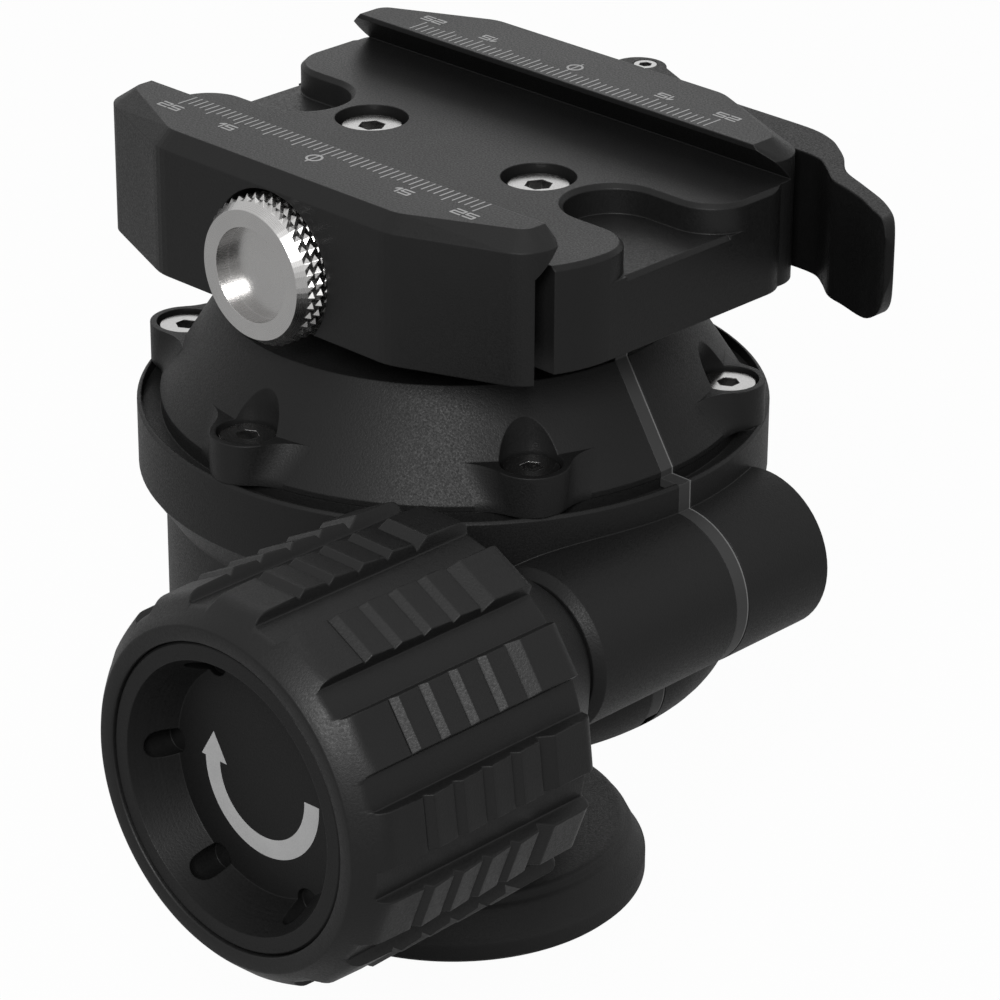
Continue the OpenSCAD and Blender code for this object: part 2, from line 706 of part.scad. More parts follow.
module index_strip() {
    color([0.13, 0.13, 0.14]) index_slab(index_w) difference() {
        head_outline(index_drop);
        head_outline(index_drop + index_t);
        square([pedestal_r, dome_top]);
        square([barrel_x, bowl_z + 2 * index_low]);
    }
}

module barrel_plug() {
    color([0.09, 0.09, 0.1]) at_barrel() difference() {
        rod_y(barrel_bore_r - fit_gap, barrel_back - barrel_plug_t, barrel_back - edge_break);
        translate([0, barrel_back - barrel_plug_t / 2, 0]) rotate([-90, 0, 0])
            cylinder(r = shaft_r, h = barrel_plug_t, $fn = 6);
    }
}
module shaft_bush() {
    color([0.72, 0.6, 0.35]) at_barrel() difference() {
        union() {
            rod_y(barrel_bore_r - fit_gap, -barrel_front, -barrel_front + bush_len);
            rod_y(bush_flange_r, -barrel_lip, -barrel_front);
        }
        rod_y(shaft_r + fit_gap, -barrel_lip - over, -barrel_front + bush_len + over);
    }
}
// Half space on the ball's side of the wedge's slope, as a flat prism, set back by gap
module slope_side(gap) {
    translate([0, 0, ball_z - barrel_r]) linear_extrude(2 * barrel_r) polygon([
        [0, -barrel_front], [wedge_x - gap + tan(wedge_deg) * barrel_front, -barrel_front],
        [wedge_x - gap - tan(wedge_deg) * barrel_front, barrel_front], [0, barrel_front]]);
}
module lock_shoe() {
    color([0.3, 0.3, 0.31]) difference() {
        intersection() {
            translate([0, 0, ball_z]) rotate([0, 90, 0]) cylinder(r = shoe_r, h = barrel_x);
            slope_side(run_gap);
        }
        translate([0, 0, ball_z]) sphere(r = ball_r + free_gap);
    }
}
module lock_wedge() {
    color([0.72, 0.6, 0.35]) difference() {
        at_barrel() rod_y(barrel_bore_r - run_gap, -wedge_half, wedge_half);
        at_barrel() rod_y(shaft_r + fit_gap, -wedge_len, wedge_len);
        slope_side(0);
    }
}
module lock_shaft() {
    color([0.6, 0.6, 0.62]) at_barrel() difference() {
        rod_y(shaft_r, -knob_rear - shaft_in_knob, shaft_end);
        difference() {
            rod_y(shaft_r + over, clip_y, clip_y + clip_t + fit_gap);
            rod_y(clip_groove_r, clip_y - over, clip_y + clip_t + over);
        }
        rod_y(knob_screw_r + fit_gap, -knob_rear - shaft_in_knob - over,
            -knob_rear - shaft_in_knob + knob_screw_len);
    }
}
module shaft_clip() {
    color([0.5, 0.5, 0.52]) at_barrel() difference() {
        rod_y(clip_r, clip_y, clip_y + clip_t);
        rod_y(clip_groove_r + fit_gap, clip_y - over, clip_y + clip_t + over);
    }
}
module thrust_washer() {
    color([0.75, 0.75, 0.72]) at_barrel() difference() {
        rod_y(washer_r, -knob_rear + fit_gap, -knob_rear + fit_gap + washer_t);
        rod_y(shaft_r + fit_gap, -knob_rear - over, -barrel_front);
    }
}

module knob_core() {
    color([0.1, 0.1, 0.11]) at_barrel() difference() {
        turned_y([[0, -knob_rear], [washer_r + run_gap, -knob_rear], [washer_r + run_gap, -hub_rear],
            [hub_r - edge_break, -hub_rear], [hub_r, -hub_rear - edge_break], [grip_rear_r, -grip_rear], [grip_bore_r, -grip_rear], [grip_bore_r, -cap_seat], [0, -cap_seat]]);
        rod_y(shaft_r + fit_gap, -knob_rear - shaft_in_knob, -knob_rear + over);
        rod_y(knob_screw_r + fit_gap, -cap_seat, -knob_rear);
        rod_y(core_well_r, -cap_seat - over, -knob_rear - shaft_in_knob - knob_head_h / 2);
    }
}
// Saw-toothed side of one land, from the front ring to the rear, as [radius, y]
function land_side() = concat([[land_front_r, -grip_front + grip_front_taper + grip_rim]],
    [for (i = [0 : tooth_n - 1]) let (y = -grip_front + teeth_front + i * tooth_pitch)
        each [[land_r - tooth_h, y], [land_r, y + (i == tooth_n - 1 ? last_ramp : tooth_ramp)]]],
    [[land_r - tooth_h, -grip_rear - 2 * land_rear_gap], [land_r - 2 * tooth_h, -grip_rear - land_rear_gap]]);
module knob_grip() {
    valley_deg = 360 / land_n - land_deg;
    valley_front = -grip_front + grip_front_taper + 2 * grip_rim;
    cut_r = land_r + over;
    color([0.05, 0.05, 0.05]) at_barrel() difference() {
        turned_y(concat([[grip_bore_r + fit_gap, -cap_seat - cap_t / 2],
            [cap_r + 2 * fit_gap, -cap_seat - cap_t / 2],
            [cap_r + 2 * fit_gap, -grip_front], [grip_front_r - grip_rim, -grip_front],
            [grip_front_r, -grip_front + grip_rim]], land_side(),
            [[grip_rear_r, -grip_rear], [grip_bore_r + fit_gap, -grip_rear]]));
        for (i = [0 : land_n - 1]) rotate([0, valley_deg / 2 - land_start - i * 360 / land_n, 0])
            translate([0, valley_front, 0]) rotate([-90, 0, 0]) linear_extrude(grip_len) difference() {
                polygon([[0, 0], [cut_r, cut_r * tan(valley_deg / 2)],
                    [cut_r, -cut_r * tan(valley_deg / 2)]]);
                circle(valley_r);
            }
    }
}
module knob_cap() {
    dish_floor = -grip_front + dish_d;
    color([0.09, 0.09, 0.1]) at_barrel() difference() {
        turned_y([[0, dish_floor], [dish_floor_r, dish_floor], [dish_r, -grip_front + edge_break],
            [cap_r - edge_break, -grip_front + edge_break], [cap_r, -grip_front + 2 * edge_break],
            [cap_r, -cap_seat - fit_gap], [0, -cap_seat - fit_gap]]);
        for (i = [0 : dimple_n - 1]) rotate([0, i * 360 / dimple_n, 0])
            translate([dish_floor_r + 2 * edge_break, 0, 0]) {
                rod_y(dimple_r, dish_floor - dimple_len, dish_floor + cap_t / 3);
                translate([0, dish_floor - dimple_len, 0]) sphere(r = dimple_r);
            }
    }
}
module knob_screw() {
    color([0.55, 0.55, 0.57]) at_barrel()
        translate([0, -knob_rear - shaft_in_knob - knob_head_h / 2, 0]) rotate([90, 0, 0])
            socket_screw(knob_screw_r, knob_screw_len - over, knob_head_r, knob_head_h, knob_socket_r);
}

// Plan of a jaw with its lip on y = 0 and its back at y = depth, drawn in by inset except at the lip,
// with ends of radius end_r and a lip of half length half
module jaw_plan(depth, inset, end_r, half) {
    intersection() {
        hull() {
            for (s = [-1, 1]) {
                translate([s * jaw_flat_x, depth - jaw_flat_round]) circle(jaw_flat_round - inset, $fn = 48);
                translate([s * jaw_end_x, depth - jaw_end_in]) circle(end_r, $fn = 48);
            }
            translate([-half, 0]) square([2 * half, fit_gap]);
        }
        translate([-jaw_half, 0]) square([2 * jaw_half, depth]);
    }
}
// Jaw block from z0 up to the jaw top, with its outer top edge chamfered
module jaw_block(depth, z0) {
    top_r = jaw_end_round - jaw_end_cham;
    hull() {
        translate([0, 0, z0]) linear_extrude(jaw_top - jaw_cham - z0) jaw_plan(depth, 0, jaw_end_round,
            jaw_end_x + sqrt(pow(jaw_end_round, 2) - pow(depth - jaw_end_in, 2)));
        translate([0, 0, jaw_top - fit_gap]) linear_extrude(fit_gap)
            jaw_plan(depth, jaw_cham, top_r, jaw_end_x + top_r);
    }
}
// Upright post whose top edge is eased and which stands on past the floor, with the floor at height h
module eased_post(r, h) {
    cylinder(r = r, h = h - floor_cham);
    translate([0, 0, h - floor_cham]) cylinder(r1 = r, r2 = r - floor_cham - over, h = floor_cham + over);
}
// Cut of one end pocket, with its rim eased
module end_pocket() {
    z0 = floor_z - pocket_d;
    translate([pocket_x, 0, z0]) cylinder(r = pocket_r, h = pocket_d + over);
    translate([pocket_x, -pocket_r, z0]) cube([clamp_half, 2 * pocket_r, pocket_d + over]);
    translate([pocket_x, 0, floor_z - floor_cham])
        cylinder(r1 = pocket_r, r2 = pocket_r + 2 * floor_cham, h = 2 * floor_cham);
    translate([pocket_x, 0, 0]) rotate([90, 0, 90]) linear_extrude(clamp_half) polygon([
        [-pocket_r, floor_z - floor_cham], [pocket_r, floor_z - floor_cham],
        [pocket_r + 2 * floor_cham, floor_z + floor_cham], [-pocket_r - 2 * floor_cham, floor_z + floor_cham]]);
    for (s = [-1, 1]) translate([clamp_half - mouth_round, s * (pocket_r + mouth_round), z0]) difference() {
        translate([0, s > 0 ? -mouth_round - over : 0, 0])
            cube([mouth_round + over, mouth_round + over, pocket_d + over]);
        translate([0, 0, -over]) eased_post(mouth_round, pocket_d + over);
    }
    translate([clamp_half, 0, z0]) rotate([0, 45, 0])
        cube([floor_cham * sqrt(2), 2 * (pocket_r + mouth_round / 2), floor_cham * sqrt(2)], center = true);
}
// Plan of the clamp's floor slab with rounded corners
module floor_plan() {
    difference() {
        translate([-clamp_half, -near_wall]) square([2 * clamp_half, near_wall + floor_end]);
        for (s = [-1, 1]) {
            translate([s * (clamp_half - base_corner_far), floor_end - base_corner_far]) difference() {
                translate([s > 0 ? 0 : -2 * base_corner_far, 0]) square(2 * base_corner_far);
                circle(base_corner_far);
            }
        }
    }
}
module clamp_base() {
    color([0.11, 0.11, 0.12]) difference() {
        union() {
            translate([0, 0, clamp_z]) linear_extrude(floor_h) floor_plan();
            translate([0, far_lip, 0]) jaw_block(far_depth, clamp_z);
        }
        along_x([[far_lip - over, floor_z], [far_lip + lip_run, floor_z], [far_lip, jaw_top - lip_nose],
            [far_lip - over, jaw_top - lip_nose]]);
        for (s = [0, 1]) mirror([s, 0, 0]) {
            end_pocket();
            translate([clamp_half - end_curve_r, -near_wall + end_curve_run, clamp_z - over]) difference() {
                translate([0, -2 * end_curve_r, 0]) cube([2 * end_curve_r, 2 * end_curve_r, floor_h + 2 * over]);
                translate([0, 0, -over]) eased_post(end_curve_r, floor_h + 2 * over);
            }
            translate([clamp_half, 0, floor_z]) rotate([0, 45, 0])
                cube([floor_cham * sqrt(2), 3 * clamp_half, floor_cham * sqrt(2)], center = true);
            translate([clamp_screw_x, 0, clamp_seat]) cylinder(r = clamp_head_r + 2 * free_gap, h = floor_h);
            translate([clamp_screw_x, 0, clamp_z - over]) cylinder(r = clamp_screw_r + fit_gap, h = floor_h);
            at_bolt() translate([guide_x, 0, 0])
                rod_y(guide_r + run_gap, -near_wall - over, guide_reach + guide_room);
        }
        at_bolt() rod_y(bolt_r + run_gap, -near_wall - over, far_back + over);
        at_bolt() translate([-cam_shoe_half - fit_gap, far_back - cam_shoe_t, -cam_shoe_h / 2 - fit_gap])
            cube([2 * (cam_shoe_half + fit_gap), cam_shoe_t + over, cam_shoe_h + 2 * fit_gap]);
    }
}
module clamp_screws() {
    color([0.75, 0.75, 0.77]) for (s = [-1, 1]) translate([s * clamp_screw_x, 0, clamp_seat])
        socket_screw(clamp_screw_r, clamp_screw_len - over, clamp_head_r, clamp_head_h, clamp_socket_r);
}
module cam_shoe() {
    color([0.7, 0.7, 0.68]) at_bolt() difference() {
        translate([-cam_shoe_half, far_back - cam_shoe_t, -cam_shoe_h / 2])
            cube([2 * cam_shoe_half, cam_shoe_t, cam_shoe_h]);
        rod_y(bolt_r + run_gap, far_back - cam_shoe_t - over, far_back + over);
    }
}

module draw_bolt() {
    color([0.6, 0.6, 0.62]) difference() {
        union() {
            at_bolt() rod_y(bolt_r, -bolt_end, pivot_y - eye_r);
            translate([0, pivot_y, bolt_z - eye_half]) cylinder(r = eye_r, h = 2 * eye_half);
            translate([-eye_r, pivot_y - eye_r - eye_neck, bolt_z - eye_half])
                cube([2 * eye_r, eye_r + eye_neck, 2 * eye_half]);
        }
        translate([0, pivot_y, clamp_z]) cylinder(r = lever_pin_r + fit_gap, h = floor_h);
    }
}
// Plan of the lever: arm, shoulder, neck and finger tab, and the eccentric round the pivot
module lever_plan() {
    shift = [lever_x, far_back];
    arm_out = far_back + lever_wall_gap + lever_arm_t;
    polygon(concat([[3 * cam_r, arm_out]], [for (p = smooth_path(lever_outer, 5)) p + shift],
        [for (p = smooth_path(lever_inner, 5)) p + shift],
        [[lever_x + lever_taper_x, far_back + lever_wall_gap]],
        [for (a = [-70 : -7.5 : -330]) [cam_r * cos(a), pivot_y - cam_off + cam_r * sin(a)]]));
}
// Side view of the lever: level above, rising to the tab below, with the tab's end rounded
module lever_side() {
    end = lever_x + tab_end;
    start = -2 * cam_r;
    rise = atan(tab_lift / (end - start));
    low_z = lever_low + tab_lift - tab_round_low * (tan(rise) - 1 / cos(rise));
    polygon(concat([[start, lever_top], [start, lever_low]],
        [for (a = [rise - 90 : 6 : 0]) [end + tab_round_low * (cos(a) - 1), low_z + tab_round_low * sin(a)]],
        [for (a = [0 : 6 : 90]) [end + tab_round_top * (cos(a) - 1),
            lever_top + tab_round_top * (sin(a) - 1)]]));
}
module lever() {
    color([0.1, 0.1, 0.11]) difference() {
        intersection() {
            translate([0, 0, lever_low]) linear_extrude(lever_top - lever_low) lever_plan();
            translate([0, pivot_y + 2 * cam_r, 0]) rotate([90, 0, 0])
                linear_extrude(pivot_y + 4 * cam_r) lever_side();
        }
        translate([0, pivot_y, bolt_z - bolt_r - free_gap])
            cylinder(r = cam_r + cam_off + eye_room, h = 2 * (bolt_r + free_gap));
        translate([0, pivot_y, lever_low]) cylinder(r = lever_pin_r + fit_gap, h = jaw_top - lever_low);
    }
}
module lever_pin() {
    color([0.75, 0.75, 0.77]) translate([0, pivot_y, 0]) difference() {
        translate([0, 0, lever_low]) cylinder(r = lever_pin_r, h = lever_top - lever_low);
        translate([0, 0, lever_top - over]) cylinder(r = pin_socket_r, h = 2 * over, $fn = 6);
    }
}

module moving_jaw() {
    wall = -near_wall - jaw_gap;
    color([0.11, 0.11, 0.12]) difference() {
        translate([0, -near_lip, 0]) mirror([0, 1, 0]) jaw_block(near_depth, jaw_z);
        along_x([[wall, jaw_z - over], [wall, jaw_top - near_nose - (-near_lip - wall)],
            [-near_lip, jaw_top - near_nose], [-near_lip + over, jaw_top - near_nose],
            [-near_lip + over, jaw_z - over]]);
        at_bolt() {
            rod_y(thumb_recess_r, -near_back - over, -thumb_floor);
            rod_y(thumb_hub_r + run_gap, -near_back, -thumb_rear + thumb_hub_len + run_gap);
            rod_y(bolt_r + run_gap, -near_back, wall + over);
            for (s = [-1, 1]) translate([s * guide_x, 0, 0])
                rod_y(guide_r + fit_gap, wall - guide_in_jaw, wall + over);
        }
    }
}
module guide_pins() {
    color([0.6, 0.6, 0.62]) at_bolt() for (s = [-1, 1]) translate([s * guide_x, 0, 0])
        rod_y(guide_r, -near_wall - jaw_gap - guide_in_jaw + fit_gap, guide_reach);
}
// One ring of points round the thumb knob, with radius r0 and r1 in turn
function knurl_ring(r0, r1, y) = [for (i = [0 : 2 * thumb_teeth - 1]) let (a = i * 180 / thumb_teeth,
    r = i % 2 == 0 ? r0 : r1) [r * cos(a), y, r * sin(a)]];
// Body of the thumb knob: a plain conical front and rows of pyramid teeth
module knurled_body() {
    n = 2 * thumb_teeth;
    rings = 2 * knurl_rows + 3;
    knurl_y = -thumb_face + knurl_front;
    points = concat(knurl_ring(thumb_face_r, thumb_face_r, -thumb_face),
        knurl_ring(knurl_valley_r, knurl_valley_r, knurl_y),
        [for (j = [0 : knurl_rows - 1]) each concat(
            knurl_ring(thumb_root_r, thumb_r, knurl_y + (j + 0.5) * knurl_pitch),
            knurl_ring(knurl_valley_r, knurl_valley_r, knurl_y + (j + 1) * knurl_pitch))],
        knurl_ring(knurl_valley_r, knurl_valley_r, -thumb_rear));
    polyhedron(points, concat([[for (i = [n - 1 : -1 : 0]) i]],
        [for (k = [0 : rings - 2], i = [0 : n - 1]) let (j = (i + 1) % n)
            each [[k * n + i, k * n + j, k * n + n + j], [k * n + i, k * n + n + j, k * n + n + i]]],
        [[for (i = [0 : n - 1]) (rings - 1) * n + i]]));
}
module thumb_knob() {
    color([0.75, 0.75, 0.77]) at_bolt() difference() {
        union() {
            knurled_body();
            rod_y(thumb_hub_r, -thumb_rear - over, -thumb_rear + thumb_hub_len);
        }
        rod_y(thumb_well_r, -thumb_face - over, -thumb_face + thumb_well_d);
        rod_y(bolt_r + fit_gap, -bolt_bore_end, -thumb_rear + thumb_hub_len + over);
    }
}
module thumb_washer() {
    color([0.7, 0.7, 0.72]) at_bolt() difference() {
        rod_y(thumb_root_r - over, -thumb_floor - thumb_washer_t, -thumb_floor);
        rod_y(thumb_hub_r + run_gap, -thumb_floor - over, -thumb_floor + over);
    }
}

base_plate();
base_screws();
thread_insert();
ball_stem();
ball();
ball_bolt();
stem_ring();
lower_seat();
upper_seat();
seat_spring();
housing();
dome();
dome_screws();
index_strip();
barrel_plug();
shaft_bush();
lock_shoe();
lock_wedge();
lock_shaft();
shaft_clip();
thrust_washer();
knob_core();
knob_grip();
knob_cap();
knob_screw();
clamp_base();
clamp_screws();
cam_shoe();
draw_bolt();
lever();
lever_pin();
moving_jaw();
guide_pins();
thumb_knob();
thumb_washer();
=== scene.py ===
import math

import bmesh
import bpy
from mathutils import Matrix, Vector


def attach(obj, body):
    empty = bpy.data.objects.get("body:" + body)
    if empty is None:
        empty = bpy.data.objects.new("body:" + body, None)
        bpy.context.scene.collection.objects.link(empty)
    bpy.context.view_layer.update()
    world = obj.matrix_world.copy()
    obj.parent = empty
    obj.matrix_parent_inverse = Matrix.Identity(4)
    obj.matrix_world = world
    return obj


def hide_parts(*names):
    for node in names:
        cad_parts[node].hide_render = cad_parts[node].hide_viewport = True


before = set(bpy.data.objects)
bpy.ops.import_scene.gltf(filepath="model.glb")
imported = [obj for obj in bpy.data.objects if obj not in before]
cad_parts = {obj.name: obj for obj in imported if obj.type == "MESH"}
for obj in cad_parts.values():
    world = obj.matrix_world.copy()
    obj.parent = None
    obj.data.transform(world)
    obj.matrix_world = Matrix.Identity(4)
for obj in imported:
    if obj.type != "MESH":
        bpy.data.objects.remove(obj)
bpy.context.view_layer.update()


# ---- Base disc ----
# The foot that is screwed down on a tripod: a disc turned from aluminium bar, bead blasted, then black anodised.
# The blasting leaves a fine even grain, and the broken edges are painted paler, a painted highlight where they catch
# the light.
mm = 0.001


class Tap:
    """One socket in a tree of nodes. Sums and products of taps add Math nodes."""

    def __init__(self, tree, socket=None):
        self.tree, self.socket = tree, socket

    def node(self, kind, settings=None, sockets=None, out=0):
        made = self.tree.nodes.new(kind)
        for name, value in (settings or {}).items():
            setattr(made, name, value)
        for name, value in (sockets or {}).items():
            if isinstance(value, Tap):
                self.tree.links.new(value.socket, made.inputs[name])
            else:
                made.inputs[name].default_value = value
        return Tap(self.tree, made.outputs[out] if made.outputs else None)

    def other(self, out):
        return Tap(self.tree, self.socket.node.outputs[out])

    def maths(self, operation, *values, clamp=False):
        return self.node("ShaderNodeMath", {"operation": operation, "use_clamp": clamp}, dict(enumerate(values)))

    def vector(self, operation, *values, out=0):
        return self.node("ShaderNodeVectorMath", {"operation": operation}, dict(enumerate(values)), out)

    def between(self, first, second):
        return self.node("ShaderNodeMix", {"data_type": "RGBA"}, {0: self, 6: first, 7: second}, 2)

    def noise(self, scale, detail, rough=0.5):
        return self.node("ShaderNodeTexNoise", None, {"Vector": self, "Scale": scale, "Detail": detail, "Roughness": rough})

    def noise_along(self, scale, detail):
        return self.node("ShaderNodeTexNoise", {"noise_dimensions": "1D"}, {"W": self * scale, "Detail": detail})

    def bump(self, strength, deep, normal=None):
        """A normal that follows this height; deep is in millimetres."""
        sockets = {"Strength": strength, "Distance": deep * mm, "Height": self}
        if normal is not None:
            sockets["Normal"] = normal
        return self.node("ShaderNodeBump", None, sockets)

    def part(self, axis):
        return self.node("ShaderNodeSeparateXYZ", None, {0: self}, axis)

    def xyz(self, **parts):
        return self.node("ShaderNodeCombineXYZ", None, parts)

    def clamped(self):
        return self.maths("ADD", self, 0.0, clamp=True)

    def __add__(self, value):
        return self.maths("ADD", self, value)

    def __sub__(self, value):
        return self.maths("SUBTRACT", self, value)

    def __rsub__(self, value):
        return self.maths("SUBTRACT", value, self)

    def __mul__(self, value):
        return self.maths("MULTIPLY", self, value)

    def __truediv__(self, value):
        return self.maths("DIVIDE", self, value)

    def __rtruediv__(self, value):
        return self.maths("DIVIDE", value, self)

    def __lt__(self, value):
        return self.maths("LESS_THAN", self, value)

    def __gt__(self, value):
        return self.maths("GREATER_THAN", self, value)

    def __mod__(self, value):
        return self.maths("MODULO", self, value)

    __radd__, __rmul__ = __add__, __mul__


def grey(tone, warm=0.0):
    return (tone * (1 + warm), tone, tone * (1 - warm), 1.0)


def new_finish(name, **constants):
    """A material with its constant sockets set, its shader, and a tap on the piece's own coordinates."""
    material = bpy.data.materials.new(name)
    material.use_nodes = True
    shader = material.node_tree.nodes["Principled BSDF"]
    for socket, value in constants.items():
        shader.inputs[socket.replace("_", " ")].default_value = value
    place = Tap(material.node_tree).node("ShaderNodeTexCoord", out="Object")
    return material, shader, place


def feed(shader, **taps):
    for socket, tap in taps.items():
        tap.tree.links.new(tap.socket, shader.inputs[socket.replace("_", " ")])


def rounded_edge(place, radius):
    """The normal with edges rounded off, and how far it leans at an edge."""
    soft = place.node("ShaderNodeBevel", {"samples": 6}, {"Radius": radius})
    true = place.node("ShaderNodeNewGeometry", out="Normal")
    return soft, 1 - place.vector("DOT_PRODUCT", soft, true, out=1)


def black_anodised(name, tone=0.006, rough=0.50, grain=0.7, edge=0.25, edge_highlight=0.6, specular=0.15):
    material, shader, place = new_finish(name, Specular_IOR_Level=specular)
    blast = place.noise(4200, 2.0, 0.65)
    dye = place.noise(60, 3.0)
    soft, lean = rounded_edge(place, edge * mm)
    # Colour lighter where the rounded normal leans at an edge is a painted edge highlight; the dye and blast noise are
    # the finish's own uneven tone.
    grain_and_painted_edge = (lean * edge_highlight + (dye - 0.5) * 0.06 + (blast - 0.5) * 0.05 + 0.1).clamped()
    feed(shader,
         Base_Color=grain_and_painted_edge.between(grey(tone * 0.6), grey(tone * 5)),
         Roughness=(rough + (dye - 0.5) * 0.1 + (blast - 0.5) * 0.6).clamped(),
         Normal=blast.bump(grain, 0.05, soft))
    return material


def dress(material, *nodes):
    for node in nodes:
        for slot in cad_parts[node].material_slots:
            slot.material = material


# The base's black is painted lighter than the other black parts, a painted light that stands in for the light on its
# top.
dress(black_anodised("base_black_painted_lighter", tone=0.016, rough=0.55, edge=1.1), "base_plate")


# ---- Base screws ----
# Four socket screws that pull the stem's foot down on the base disc from below.
# Machined stainless steel, left bare, with faint turning marks.
def bare_steel(name, tone=0.29, rough=0.24, warm=0.01, edge=0.12):
    material, shader, place = new_finish(name, Metallic=1.0)
    marks = place.noise(2600, 3.0, 0.6)
    cloud = place.noise(240, 2.0)
    soft, lean = rounded_edge(place, edge * mm)
    # Colour lighter where the rounded normal leans at an edge is a painted edge highlight; the cloud is the steel's own
    # uneven tone.
    feed(shader,
         Base_Color=(cloud * 0.7 + lean).clamped().between(grey(tone * 0.85, warm), grey(tone * 1.2, warm)),
         Roughness=(rough + (marks - 0.5) * 0.16 + (cloud - 0.5) * 0.1).clamped(),
         Normal=marks.bump(0.25, 0.006, soft))
    return material


screw_steel = bare_steel("screw_steel")
dress(screw_steel, "base_screws")


# ---- Thread insert ----
# The steel sleeve that takes the tripod's screw, pressed into the stem's foot.
dress(screw_steel, "thread_insert")


# ---- Stem and ball ----
# The stem is turned with its foot and stud; the ball is drilled and clamped on the stud by one socket bolt.
# The ball is hard anodised: smooth, dark grey, with faint rings left by the lathe; the stem has the blasted black
# finish.
def axis_distance(place, centre, across):
    """How far a place is from a lathe's axis; across is 1 on the two directions square to it."""
    return place.vector("LENGTH", place.vector("MULTIPLY", place.vector("SUBTRACT", place, centre), across), out=1)


def hard_anodised(name, centre, tone=0.055, rough=0.3):
    material, shader, place = new_finish(name, Specular_IOR_Level=0.35)
    ring = axis_distance(place, centre, (1, 1, 0))
    height = place.part(2)
    cut = (ring + height).noise_along(5200, 2.0)
    cloud = place.noise(70, 2.0)
    soft, lean = rounded_edge(place, 0.2 * mm)
    # Colour lighter where the rounded normal leans at an edge is a painted edge highlight; the lathe rings and cloud
    # are the finish's own tone.
    feed(shader,
         Base_Color=(cut * 0.35 + cloud * 0.4 + lean).clamped().between(grey(tone * 0.75), grey(tone * 1.5)),
         Roughness=(rough + (cut - 0.5) * 0.14 + (cloud - 0.5) * 0.1).clamped(),
         Normal=cut.bump(0.3, 0.006, soft))
    return material


dress(black_anodised("stem_black", rough=0.55), "ball_stem")
dress(hard_anodised("ball_grey", (0, 0, 0)), "ball")
dress(screw_steel, "ball_bolt")


# ---- Stem ring ----
# A moulded rubber ring round the stem, where the housing's mouth comes to rest when the head is tilted over.
def moulded_rubber(name, tone=0.012, rough=0.62, grain=0.5, edge=0.3):
    material, shader, place = new_finish(name, Specular_IOR_Level=0.2)
    pores = place.noise(3400, 3.0, 0.7)
    bloom = place.noise(90, 3.0)
    soft, lean = rounded_edge(place, edge * mm)
    # Colour lighter where the rounded normal leans at an edge is a painted edge highlight; bloom and pores are the
    # rubber's own uneven tone.
    feed(shader,
         Base_Color=(bloom * 0.5 + lean * 0.5 + (pores - 0.5) * 0.3).clamped().between(grey(tone * 0.7), grey(tone * 1.6)),
         Roughness=(rough + (bloom - 0.5) * 0.1 + (pores - 0.5) * 0.5).clamped(),
         Normal=pores.bump(grain, 0.04, soft))
    return material


rubber = moulded_rubber("moulded_rubber")
dress(rubber, "stem_ring")


# ---- Ball seats ----
# Two slippery plastic rings that hold the ball between them, and the wavy spring washer that keeps them pressed.
def turned_plastic(name):
    material, shader, place = new_finish(name, Specular_IOR_Level=0.4)
    cloud = place.noise(120, 3.0)
    cut = place.noise(1800, 2.0)
    soft, lean = rounded_edge(place, 0.2 * mm)
    # Colour lighter where the rounded normal leans at an edge is a painted edge highlight; the cloud is the plastic's
    # own uneven tone.
    feed(shader,
         Base_Color=(cloud + lean).clamped().between((0.50, 0.50, 0.46, 1), (0.68, 0.68, 0.65, 1)),
         Roughness=(0.38 + cut * 0.15).clamped(),
         Normal=cut.bump(0.2, 0.01, soft))
    return material


dress(turned_plastic("seat_plastic"), "lower_seat", "upper_seat")
dress(screw_steel, "seat_spring")


# ---- Housing ----
# Bowl, flange and lock barrel machined from one billet, blasted and anodised with the other black parts.
# A blind plug closes the barrel's far end, and a bronze bush carries the knob's shaft in its mouth.
blasted_black = black_anodised("blasted_black")
dress(blasted_black, "housing", "barrel_plug")


def bearing_bronze(name):
    material, shader, place = new_finish(name, Metallic=1.0)
    cut = place.noise(2200, 3.0)
    tarnish = place.noise(300, 3.0)
    soft, lean = rounded_edge(place, 0.12 * mm)
    # Colour lighter where the rounded normal leans at an edge is a painted edge highlight; the tarnish is the bronze's
    # own uneven tone.
    feed(shader,
         Base_Color=(tarnish + lean).clamped().between((0.36, 0.22, 0.09, 1), (0.60, 0.43, 0.20, 1)),
         Roughness=(0.28 + cut * 0.2).clamped(),
         Normal=cut.bump(0.25, 0.008, soft))
    return material


dress(bearing_bronze("bearing_bronze"), "shaft_bush")


# ---- Dome ----
# The turned cone that closes the housing over the ball. Six ears carry the screws that hold it to the flange.
# A round cutter leaves a wide hollow corner on both sides of each ear, which runs out to a thin tip at its top.
dress(blasted_black, "dome")
dress(screw_steel, "dome_screws")


def add_piece(name, bm, material, smooth_deg=None):
    """Turns a finished bmesh into a piece in its place."""
    bmesh.ops.recalc_face_normals(bm, faces=bm.faces)
    mesh = bpy.data.meshes.new(name)
    bm.to_mesh(mesh)
    bm.free()
    mesh.materials.append(material)
    if smooth_deg:
        mesh.shade_smooth()
        mesh.set_sharp_from_angle(angle=math.radians(smooth_deg))
    piece = bpy.data.objects.new(name, mesh)
    bpy.context.scene.collection.objects.link(piece)
    return piece


dome_foot, dome_radius, dome_skirt, dome_lean = 68.45, 36.4, 0.75, 0.639
ear_count, ear_ring, ear_radius, ear_top, ear_hollow = 6, 34.7, 4.6, 5.11, 6.8


